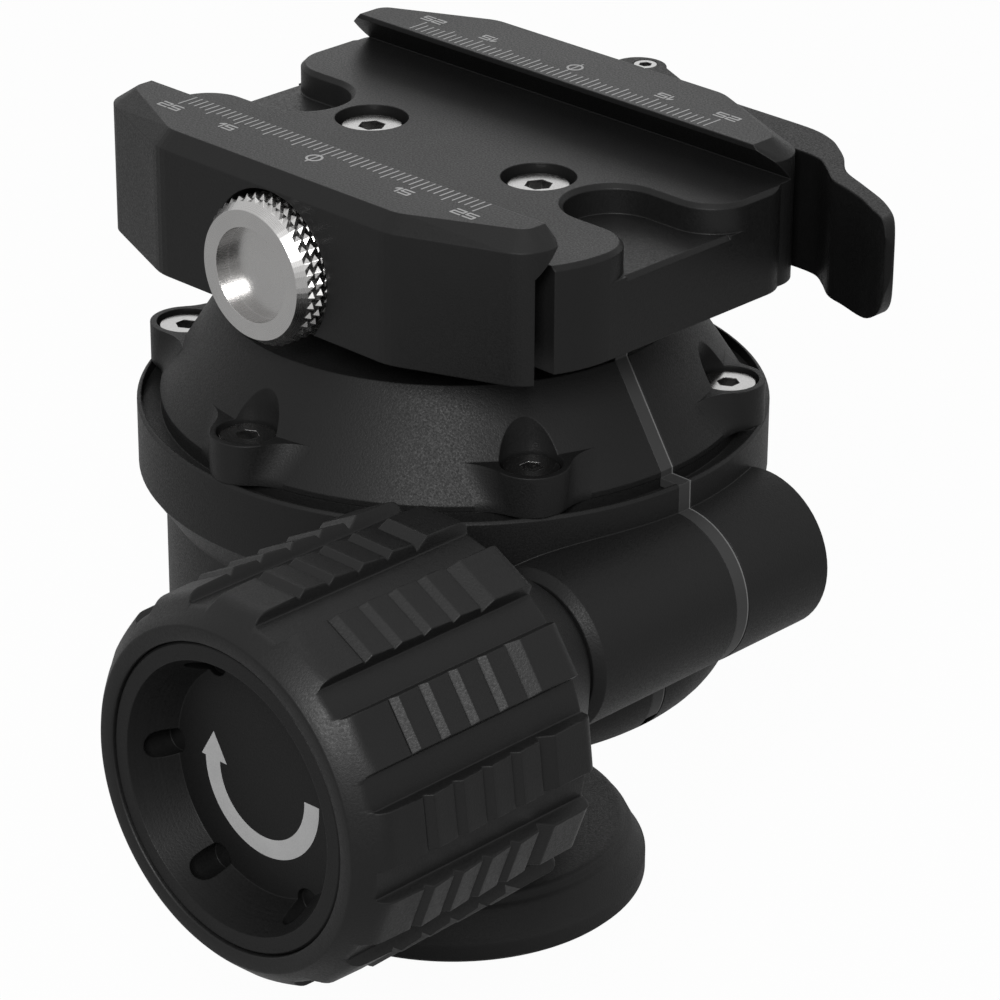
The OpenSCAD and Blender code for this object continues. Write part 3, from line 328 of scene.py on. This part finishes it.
def hollow_corner(height, steps=16):
    """The corner between dome and ear at one height: its arc, and a last point inside the metal."""
    cone = dome_radius - dome_lean * max(height - dome_skirt, 0)
    far, near = cone + ear_hollow, ear_radius + ear_hollow
    turn = math.acos((far ** 2 + ear_ring ** 2 - near ** 2) / (2 * far * ear_ring))
    middle = Vector((far * math.cos(turn), far * math.sin(turn)))
    first, last = -middle, Vector((ear_ring, 0)) - middle
    sweep = first.angle_signed(last)
    arc = [middle + (Matrix.Rotation(-sweep * k / steps, 2) @ first).normalized() * ear_hollow for k in range(steps + 1)]
    meet = math.acos((cone ** 2 + ear_ring ** 2 - ear_radius ** 2) / (2 * cone * ear_ring))
    return arc + [Vector((math.cos(meet), math.sin(meet))) * (cone - 0.3)]


corner_levels = [0.02, dome_skirt] + [dome_skirt + (ear_top - dome_skirt) * k / 8 for k in range(1, 9)]
corners = bmesh.new()
for ear in range(ear_count):
    spin = Matrix.Rotation(math.radians((ear + 0.5) * 360 / ear_count), 2)
    for way in (-1, 1):
        loops = []
        for height in corner_levels:
            flat = [spin @ Vector((p.x, way * p.y)) for p in hollow_corner(height)]
            loops.append([corners.verts.new(Vector((p.x, p.y, dome_foot + height)) * mm) for p in flat])
        for low, high in zip(loops, loops[1:]):
            for k in range(len(low)):
                corners.faces.new((low[k - 1], low[k], high[k], high[k - 1]))
        corners.faces.new(loops[0])
        corners.faces.new(loops[-1])
ear_corners = add_piece("ear_corners", corners, black_anodised("corner_black", edge=0.004), 40)
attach(ear_corners, "head")


# ---- Index strip ----
# A narrow strip let into dome, flange, barrel and bowl, which marks the head's zero.
# It is anodised dark; a pale line along one long edge is a painted highlight, where that edge catches the light.
def index_finish(name, edge_y=0.55 * mm, line=0.22 * mm):
    material, shader, place = new_finish(name, Specular_IOR_Level=0.2)
    across = place.part(1)
    grain = place.noise(3600, 2.0)
    # The pale line along the strip's +Y edge is a painted highlight, and colour lighter at its rounded edges is a
    # painted edge highlight.
    pale = (across > edge_y - line) * (0.75 + grain * 0.4)
    soft, lean = rounded_edge(place, 0.15 * mm)
    feed(shader,
         Base_Color=(pale + lean * 0.3).clamped().between(grey(0.026), grey(0.13)),
         Roughness=(0.42 + grain * 0.16).clamped(),
         Normal=grain.bump(0.4, 0.015, soft))
    return material


dress(index_finish("index_strip"), "index_strip")


# ---- Lock shaft and wedge ----
# The shaft turns in its bush and draws a wedge nut along the barrel, and the wedge pushes a shoe on the ball.
# Shaft, washer, clip and wedge are steel; the shoe that touches the ball is hard anodised.
dress(screw_steel, "lock_shaft", "shaft_clip", "thrust_washer", "lock_wedge")
dress(hard_anodised("shoe_grey", (0, 0, 0), tone=0.07), "lock_shoe")


# ---- Lock knob's core and cap ----
# The core is a turned black cone on the shaft; the dished cap closes the knob's front and hides its screw.
# Cap and core keep the fine rings of the lathe under the anodising.
knob_axis = Vector((38.75, 0, 54.6)) * mm


def turned_black(name, centre, tone=0.004, rough=0.46, rings=0.5, specular=0.13):
    material, shader, place = new_finish(name, Specular_IOR_Level=specular)
    ring = axis_distance(place, centre, (1, 0, 1))
    along = place.part(1)
    cut = (ring + along * 0.6).noise_along(4200, 3.0)
    blast = place.noise(4200, 2.0, 0.65)
    soft, lean = rounded_edge(place, 0.2 * mm)
    # Colour lighter where the rounded normal leans at an edge is a painted edge highlight; the lathe rings and blast
    # are the finish's own grain.
    grain_and_painted_edge = (lean * 0.6 + (cut - 0.5) * 0.1 + (blast - 0.5) * 0.05 + 0.1).clamped()
    feed(shader,
         Base_Color=grain_and_painted_edge.between(grey(tone * 0.6), grey(tone * 5)),
         Roughness=(rough + (cut - 0.5) * 0.2 + (blast - 0.5) * 0.6).clamped(),
         Normal=(cut * 0.3 + blast).bump(rings, 0.04, soft))
    return material


cap_black = turned_black("cap_black", knob_axis)
dress(cap_black, "knob_cap", "knob_core")
dress(screw_steel, "knob_screw")


# ---- Turn arrow ----
# The sign that shows which way the knob is turned, printed in pale grey on the dish's floor.
def printed_grey(name, tone=0.30):
    material, shader, place = new_finish(name, Specular_IOR_Level=0.2)
    speck = place.noise(5200, 3.0, 0.7)
    cloud = place.noise(260, 2.0)
    feed(shader,
         Base_Color=(speck * 0.7 + (cloud - 0.5) * 0.5).clamped().between(grey(tone * 0.75), grey(tone * 1.25)),
         Roughness=(0.5 + speck * 0.2).clamped(),
         Normal=speck.bump(0.2, 0.01))
    return material


mark_grey = printed_grey("mark_grey")


def lay_mark(bm, outline, place, thick):
    """One thin closed mark: an outline in the plane, put in place by a function and given its thickness."""
    low = [bm.verts.new(place(x, y, 0)) for x, y in outline]
    high = [bm.verts.new(place(x, y, thick)) for x, y in outline]
    bm.faces.new(low)
    bm.faces.new(high)
    for i in range(len(outline)):
        j = (i + 1) % len(outline)
        bm.faces.new((low[i], low[j], high[j], high[i]))


dish_floor = -68.8
arrow_in, arrow_out, arrow_steps = 6.8, 9.1, 60
arrow_angles = [2 - 182 * i / arrow_steps for i in range(arrow_steps + 1)]
arrow_outline = [(r * math.cos(math.radians(a)), r * math.sin(math.radians(a)))
                 for r, angles in ((arrow_out, arrow_angles), (arrow_in, arrow_angles[::-1])) for a in angles]
arrow_head = [(r * math.cos(math.radians(a)), r * math.sin(math.radians(a))) for r, a in ((9.75, 180), (8.45, 156), (5.7, 180))]
arrow = bmesh.new()
tail = arrow_steps + 1
lay_mark(arrow, arrow_outline[:tail] + arrow_head + arrow_outline[tail:],
         lambda x, z, up: knob_axis + Vector((x, dish_floor + 0.01 - up, z)) * mm, 0.03)
arrow_piece = add_piece("turn_arrow", arrow, mark_grey)
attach(arrow_piece, "lock_knob")


# ---- Knob grip ----
# A sleeve of black rubber moulded over the knob's core: thirteen lands with saw teeth, and valleys between them.
# One land with half a valley on each side is the mould's repeat, and it goes round the knob's axis.
def rule_tree(name, **inputs):
    """An empty Geometry Nodes tree with named inputs: the tree, a tap on each input, and its end."""
    tree = bpy.data.node_groups.new(name, "GeometryNodeTree")
    tree.interface.new_socket("Geometry", in_out="INPUT", socket_type="NodeSocketGeometry")
    tree.interface.new_socket("Geometry", in_out="OUTPUT", socket_type="NodeSocketGeometry")
    for socket, kind in inputs.items():
        tree.interface.new_socket(socket, in_out="INPUT", socket_type="NodeSocket" + kind)
    start, end = tree.nodes.new("NodeGroupInput"), tree.nodes.new("NodeGroupOutput")
    return tree, {s.name: Tap(tree, s) for s in start.outputs if s.name}, end


def run_rule(name, tree, mesh, **sizes):
    """Runs a tree on a mesh with its inputs set, and keeps the result as a plain mesh."""
    piece = bpy.data.objects.new(name, mesh)
    bpy.context.scene.collection.objects.link(piece)
    rule = piece.modifiers.new("rule", "NODES")
    rule.node_group = tree
    for item in tree.interface.items_tree:
        if item.in_out == "INPUT" and item.name in sizes:
            rule[item.identifier] = sizes[item.name]
    bpy.context.view_layer.update()
    made = bpy.data.meshes.new_from_object(piece.evaluated_get(bpy.context.evaluated_depsgraph_get()))
    piece.modifiers.remove(rule)
    piece.data = made
    made.name = name
    return piece


def straight(points, at):
    """Radius at a place along a profile of straight lines."""
    for (r0, y0), (r1, y1) in zip(points, points[1:]):
        if y0 <= at <= y1:
            return r0 + (r1 - r0) * (at - y0) / (y1 - y0)
    return points[0][0] if at < points[0][1] else points[-1][0]


def lower_of(a, b, soft):
    """The lower of two heights, with the corner between them rounded."""
    near = max(soft - abs(a - b), 0) / soft
    return min(a, b) - near * near * soft / 4


land_count, land_centre, seam_gap = 13, 34.6, 0.004
grip_front, grip_rear, grip_bore, cap_hole, cap_step = -74.6, -39.9, 19.55, 18.3, -67.6
front_cone = [(20.2, -74.6), (20.75, -74.1), (22.4, -72.2), (24.2, -70.1), (26.0, -68.0)]
tooth_feet = [-65.8 + 4.43 * i for i in range(5)]
tooth_top, tooth_rise, last_rise = 23.44, 0.92, 1.8
land_top = [(22.9, -71.6), (23.05, -66.2)]
for foot in tooth_feet[:4]:
    land_top += [(22.7, foot), (tooth_top, foot + tooth_rise), (23.15, foot + 4.08)]
land_top += [(22.25, tooth_feet[4]), (tooth_top, tooth_feet[4] + last_rise), (23.3, -41.1), (23.0, -40.4), (22.3, grip_rear)]
valley_floor, wall_slope, land_half, land_round, around = 21.95, 3.4, 3.54, 1.5, 22.9
mouth, mouth_round, lip_round = -72.75, 0.9, 0.25
half_pitch = math.pi / land_count


def grip_radius(x, y, window=0.03):
    """The rubber's surface: valley floor, sloping wall, land or front cone, each meeting the next in a small round."""
    flare = mouth_round - math.sqrt(mouth_round ** 2 - min(max(mouth_round + mouth - y, 0), mouth_round) ** 2)
    over_x = x - land_half - flare + land_round
    over_y = y - grip_rear + land_round - 0.8
    inside = land_round - math.hypot(max(over_x, 0), max(over_y, 0)) - min(max(over_x, over_y), 0)
    wall = -lower_of(-valley_floor, -(valley_floor + inside * wall_slope), 0.3)
    top = sum(straight(land_top, min(max(y + step * window, grip_front), grip_rear)) for step in (-1, 0, 1)) / 3
    top = lower_of(top / math.cos(x / around), straight(front_cone, y), 0.8)
    edge = valley_floor - 1.5 * max(y - grip_rear + 0.4, 0)
    return lower_of(lower_of(lower_of(wall, top, 0.07), straight(front_cone, y), 0.06), edge + 5 * max(inside, 0), 0.05)


front_steps = (0.02, 0.12, 0.28, 0.48, 0.9, 1.5, 2.0, 2.2, 2.28, 2.36, 2.5, 2.65, 2.8, 2.95, 3.1, 3.3, 3.6, 4.1, 5.0, 6.4, 7.6)
grip_rows = [grip_front + step for step in front_steps]
for foot in tooth_feet:
    rise = last_rise if foot == tooth_feet[4] else tooth_rise
    grip_rows += [foot + step for step in (-0.45, -0.37, -0.26, -0.15, -0.05, 0.0, 0.05)]
    grip_rows += [foot + rise * step for step in (0.2, 0.36, 0.52, 0.68, 0.82, 0.92, 1.0, 1.08)]
    grip_rows += [foot + rise + step for step in (0.7, 1.5, 2.3) if foot + rise + step < -42]
grip_rows += [-42.2, -41.6, -41.2, -40.9, -40.6, -40.35, -40.15, -40.0, grip_rear]
half_columns = [0.0, 0.8, 1.6, 2.2, 2.55, 2.75, 2.9, 3.0, 3.08, 3.14, 3.2, 3.26, 3.32, 3.38, 3.44, 3.51, 3.58, 3.66, 3.76,
                3.88, 4.0, 4.12, 4.24, 4.36, 4.48, 4.6, 4.8, half_pitch * around]
column_turns = [-c / around for c in half_columns[:0:-1]] + [c / around for c in half_columns]
sector = bmesh.new()
grid = []
for turn in column_turns:
    x = abs(turn) * around
    path = [(cap_hole, cap_step), (cap_hole, grip_front + lip_round), (cap_hole + 0.08, grip_front + 0.08)]
    path += [(cap_hole + lip_round, grip_front), (grip_radius(x, grip_front) - lip_round, grip_front)]
    path += [(grip_radius(x, y), y) for y in grip_rows]
    path += [(grip_bore, grip_rear), (grip_bore, cap_step)]
    grid.append([sector.verts.new(Vector((r * math.cos(turn), y, r * math.sin(turn))) * mm) for r, y in path])
for left, right in zip(grid, grid[1:]):
    for k in range(len(left)):
        sector.faces.new((left[k], left[k - 1], right[k - 1], right[k]))
bmesh.ops.recalc_face_normals(sector, faces=sector.faces)
sector_mesh = bpy.data.meshes.new("grip_repeat")
sector.to_mesh(sector_mesh)
sector.free()

grip_rubber = moulded_rubber("grip_rubber", tone=0.004, rough=0.46, grain=0.8, edge=0.06)
grip_rule, grip_in, grip_end = rule_tree("lands_round_the_knob", Lands="Int", Start="Float", Axis="Vector")
turn_step = (2 * math.pi) / grip_in["Lands"]
row = turn_step.node("GeometryNodeMeshLine", None, {
    "Count": grip_in["Lands"], "Start Location": grip_in["Axis"], "Offset": (0, 0, 0)})
turned = row.xyz(Y=0 - (grip_in["Start"] + row.node("GeometryNodeInputIndex") * turn_step))
lands = row.node("GeometryNodeInstanceOnPoints", None, {"Points": row, "Instance": grip_in["Geometry"], "Rotation": turned})
lands = row.node("GeometryNodeRealizeInstances", None, {0: lands})
lands = row.node("GeometryNodeMergeByDistance", None, {"Geometry": lands, "Distance": seam_gap * mm})
lands = row.node("GeometryNodeSetMaterial", None, {"Geometry": lands, "Material": grip_rubber})
grip_rule.links.new(lands.socket, grip_end.inputs[0])
knob_grip = run_rule("rubber_grip", grip_rule, sector_mesh,
                     Lands=land_count, Start=math.radians(land_centre), Axis=knob_axis)
knob_grip.data.shade_smooth()
knob_grip.data.set_sharp_from_angle(angle=math.radians(60))
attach(knob_grip, "lock_knob")
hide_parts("knob_grip")


# ---- Clamp base and its far scale ----
# The clamp that takes a camera plate: a machined base with the fixed jaw, held on the dome by two screws.
# Its black is a little smoother than the head's, and the scale's lines and numbers are engraved through it.
clamp_black = black_anodised("clamp_black", tone=0.006, rough=0.44, grain=0.4)
dress(clamp_black, "clamp_base")
dress(screw_steel, "clamp_screws", "cam_shoe")

tick_rule, tick_in, tick_end = rule_tree(
    "scale_lines", Lines="Int", Pitch="Float", Width="Float", Short="Float", Long="Float", Thick="Float",
    Inner="Vector", Side="Float")
left_end = 0 - (tick_in["Lines"] - 1) * tick_in["Pitch"] / 2
first = left_end.xyz(X=left_end)
row = left_end.node("GeometryNodeMeshLine", None, {
    "Count": tick_in["Lines"],
    "Start Location": left_end.vector("ADD", tick_in["Inner"], first),
    "Offset": left_end.xyz(X=tick_in["Pitch"])})
fifth = (row.node("GeometryNodeInputIndex") % 5) < 0.5
length = tick_in["Short"] + fifth * (tick_in["Long"] - tick_in["Short"])
bar = row.node("GeometryNodeMeshCube", None, {"Size": row.xyz(X=tick_in["Width"], Y=1.0, Z=tick_in["Thick"])})
bar = row.node("GeometryNodeTransform", None, {"Geometry": bar, "Translation": row.xyz(Y=tick_in["Side"] * 0.5)})
lines = row.node("GeometryNodeInstanceOnPoints", None, {"Points": row, "Instance": bar, "Scale": row.xyz(X=1.0, Y=length, Z=1.0)})
lines = row.node("GeometryNodeRealizeInstances", None, {0: lines})
lines = row.node("GeometryNodeSetMaterial", None, {"Geometry": lines, "Material": mark_grey})
tick_rule.links.new(lines.socket, tick_end.inputs[0])

jaw_top, near_lip, far_lip = 105.0, -19.09, 17.21
tick_short, tick_long, tick_wide, mark_thick = 2.34, 3.09, 0.2, 0.03


def scale_lines(name, lip, side):
    return run_rule(name, tick_rule, bpy.data.meshes.new(name),
                    Lines=51, Pitch=1 * mm, Width=tick_wide * mm, Short=tick_short * mm, Long=tick_long * mm,
                    Thick=mark_thick * mm, Inner=Vector((0, lip, jaw_top)) * mm, Side=side)


digit_high, digit_wide, stroke, digit_gap, digit_line = 1.5, 1.7, 0.27, 0.22, 4.32
ring_line, ring_out, ring_in, ring_bar, ring_steps = 4.12, 1.08, 0.78, 0.11, 20


def soft_corners(points, radius=0.16, steps=3):
    """An outline with each corner rounded."""
    made = []
    for i, corner in enumerate(points):
        corner, before, after = (Vector(p) for p in (corner, points[i - 1], points[(i + 1) % len(points)]))
        cut = min(radius, (before - corner).length / 2.2, (after - corner).length / 2.2)
        a, b = corner + (before - corner).normalized() * cut, corner + (after - corner).normalized() * cut
        made += [a * (1 - t) ** 2 + corner * 2 * t * (1 - t) + b * t ** 2 for t in (k / steps for k in range(steps + 1))]
    return made


def digit_outline(digit):
    """A wide engraved digit, from its lower left corner, and its width."""
    h, w, s = digit_high, digit_wide, stroke
    if digit == "1":
        w = 0.8
        return [(w - s, 0), (w, 0), (w, h), (w - s, h), (0, h - 0.4), (0, h - 0.8), (w - s, h - 0.42)], w
    two = [(0, h), (w, h), (w, h / 2 - s / 2), (s, h / 2 - s / 2), (s, s), (w, s), (w, 0), (0, 0),
           (0, h / 2 + s / 2), (w - s, h / 2 + s / 2), (w - s, h - s), (0, h - s)]
    return (two if digit == "2" else [(w - x, y) for x, y in two]), w


def half_turn(radius):
    """Half of a ring, from one side of the bar through it to the other."""
    gap = math.asin(ring_bar / radius)
    turns = [gap + (math.pi - 2 * gap) * k / ring_steps for k in range(ring_steps + 1)]
    return [(radius * math.sin(t), radius * math.cos(t)) for t in turns]


def scale_numbers(name, lip, side):
    """25 15 and 15 25 with the ring on the middle line, read from the jaw's own side."""
    marks = bmesh.new()
    spot = lambda x, y, up: Vector((-side * x, lip + side * y, jaw_top - 0.01 + up)) * mm
    for at, digits in ((-25, "25"), (-15, "15"), (15, "15"), (25, "25")):
        widths = [digit_outline(d)[1] for d in digits]
        x = at - (sum(widths) + digit_gap) / 2
        for digit, wide in zip(digits, widths):
            outline = soft_corners(digit_outline(digit)[0])
            lay_mark(marks, [(x + px, digit_line + digit_high / 2 - py) for px, py in outline], spot, mark_thick)
            x += wide + digit_gap
    for way in (-1, 1):
        half_ring = half_turn(ring_out) + half_turn(ring_in)[::-1]
        lay_mark(marks, [(way * x, ring_line + y) for x, y in half_ring], spot, mark_thick)
    bar_ends = ((-ring_bar, tick_long), (ring_bar, tick_long), (ring_bar, 5.66), (-ring_bar, 5.66))
    lay_mark(marks, bar_ends, spot, mark_thick)
    return add_piece(name, marks, mark_grey)


for piece in (scale_lines("far_scale_lines", far_lip, 1.0), scale_numbers("far_scale_numbers", far_lip, 1.0)):
    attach(piece, "head")


# ---- Draw bolt, cam lever and its pin ----
# The bolt runs across the clamp to the lever's eye; the lever's eccentric draws it tight over a steel pin.
# The lever is cast, blasted and anodised, with well rounded edges.
dress(screw_steel, "draw_bolt", "lever_pin")
dress(black_anodised("lever_black", tone=0.003, rough=0.45, grain=0.45, edge=0.45, specular=0.1), "lever")


# ---- Moving jaw and its near scale ----
# The jaw slides on two ground steel pins and carries the near scale on its top, engraved like the far one.
dress(clamp_black, "moving_jaw")
dress(screw_steel, "guide_pins", "thumb_washer")
for piece in (scale_lines("near_scale_lines", near_lip, -1.0), scale_numbers("near_scale_numbers", near_lip, -1.0)):
    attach(piece, "jaw")


# ---- Thumb knob ----
# The nut that sets the jaw's width: bright steel, turned with a well in its face and cross knurled in square points.
def turned_steel(name, centre, tone=0.42, rough=0.26, warm=0.012):
    material, shader, place = new_finish(name, Metallic=1.0)
    ring = axis_distance(place, centre, (1, 0, 1))
    cut = ring.noise_along(6500, 3.0)
    cloud = place.noise(300, 2.0)
    soft, lean = rounded_edge(place, 0.08 * mm)
    # Colour lighter where the rounded normal leans at an edge is a painted edge highlight; the lathe rings and cloud
    # are the steel's own tone.
    feed(shader,
         Base_Color=(cut * 0.5 + cloud * 0.3 + lean).clamped().between(grey(tone * 0.85, warm), grey(tone * 1.2, warm)),
         Roughness=(rough + (cut - 0.5) * 0.16 + (cloud - 0.5) * 0.06).clamped(),
         Normal=cut.bump(0.2, 0.008, soft))
    return material


dress(turned_steel("thumb_steel", Vector((0, 0, 93.2)) * mm), "thumb_knob")


# ---- Studio ----
# A pale floor that goes over into a white surround, three soft boxes, and the camera at the photograph's place.
# The surround shows white to the lens and in reflections, and lights the part at a plain low level.
def seen_white(tap, mirrored=1.0):
    """1 for rays that show the background itself: straight to the lens, in a reflection or through glass."""
    ray = tap.node("ShaderNodeLightPath")
    straight_on = ray.other("Is Camera Ray") + ray.other("Is Transmission Ray")
    return (straight_on + ray.other("Is Glossy Ray") * mirrored).clamped()


world = bpy.data.worlds.new("surround")
bpy.context.scene.world = world
world.use_nodes = True
world.node_tree.nodes.clear()
sky = Tap(world.node_tree)
ambient = sky.node("ShaderNodeBackground", None, {"Color": grey(1.0), "Strength": 0.34})
white = sky.node("ShaderNodeBackground", None, {"Color": grey(1.0), "Strength": 1.0})
shown = sky.node("ShaderNodeMixShader", None, {0: seen_white(sky), 1: ambient, 2: white})
sky.node("ShaderNodeOutputWorld", None, {"Surface": shown})

floor_bm = bmesh.new()
bmesh.ops.create_circle(floor_bm, cap_ends=True, segments=96, radius=6.0)
floor_paint = bpy.data.materials.new("pale_floor")
floor_paint.use_nodes = True
floor_paint.node_tree.nodes.clear()
paint = Tap(floor_paint.node_tree)
matte = paint.node("ShaderNodeBsdfDiffuse", None, {"Color": grey(0.5)})
glow = paint.node("ShaderNodeEmission", None, {"Color": grey(1.0), "Strength": 1.0})
shown = paint.node("ShaderNodeMixShader", None, {0: seen_white(paint, 0.2) * 0.97, 1: matte, 2: glow})
paint.node("ShaderNodeOutputMaterial", None, {"Surface": shown})
floor = add_piece("floor", floor_bm, floor_paint)
floor.location.z = -0.2 * mm


def soft_box(name, at, aim, size, power):
    lamp = bpy.data.lights.new(name, "AREA")
    lamp.size, lamp.energy = size, power
    box = bpy.data.objects.new(name, lamp)
    box.location = at
    box.rotation_euler = (Vector(aim) - Vector(at)).to_track_quat("-Z", "Y").to_euler()
    bpy.context.scene.collection.objects.link(box)


part_middle = (0, 0, 0.06)
soft_box("top_box", (-0.05, 0.10, 0.85), part_middle, 0.50, 1.2)
soft_box("back_box", (-0.56, 0.58, 0.46), part_middle, 0.30, 0.25)
soft_box("front_box", (0.49, -0.63, 0.62), part_middle, 0.30, 10.0)

bpy.context.scene.view_settings.view_transform = "Standard"
lens = bpy.data.cameras.new("camera")
lens.lens, lens.sensor_width = 154.395, 36.0
camera = bpy.data.objects.new("camera", lens)
turn, lift, roll = (math.radians(a) for a in (44.105, 25.391, 0.369))
away = Vector((math.sin(turn) * math.cos(lift), -math.cos(turn) * math.cos(lift), math.sin(lift)))
level = Vector((math.cos(turn), math.sin(turn), 0))
raised = away.cross(level)
sideways = math.cos(roll) * level + math.sin(roll) * raised
upright = math.cos(roll) * raised - math.sin(roll) * level
stand = Matrix.Translation((0.343972, -0.346447, 0.284542))
camera.matrix_world = stand @ Matrix((sideways, upright, away)).transposed().to_4x4()
bpy.context.scene.collection.objects.link(camera)
bpy.context.scene.camera = camera
